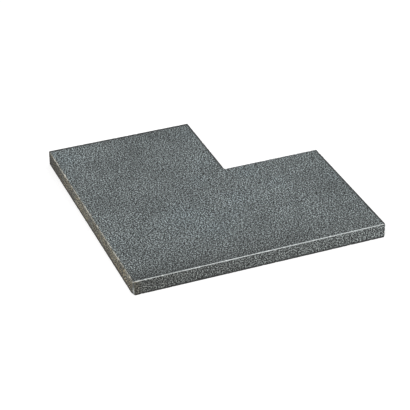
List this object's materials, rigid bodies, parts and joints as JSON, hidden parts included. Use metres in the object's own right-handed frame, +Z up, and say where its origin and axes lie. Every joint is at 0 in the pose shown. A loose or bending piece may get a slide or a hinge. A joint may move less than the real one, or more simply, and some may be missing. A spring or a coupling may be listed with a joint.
{
  "type": "corner stair tread",
  "caption": "L-shaped stone slab that turns a stair tread round an outside corner, with ground arrises on its two outer nosings and a square inner corner for the step above.",
  "frame": {"origin": "on the underside, at the centre of the slab's bounding square, which lies under the stone just outside the inner corner", "axes": "+Z up out of the walking face; the front nosing runs along X and faces -Y; the left nosing runs along Y and faces -X; the open corner for the step above is towards +X and +Y"},
  "size_m": [0.5, 0.5, 0.03],
  "materials": {
    "dark_stone": "fine-grained dark grey stone, even matt face with a pale and dark speckle"
  },
  "bodies": {
    "root": {"corner_tread": "dark_stone"}
  },
  "joints": []
}
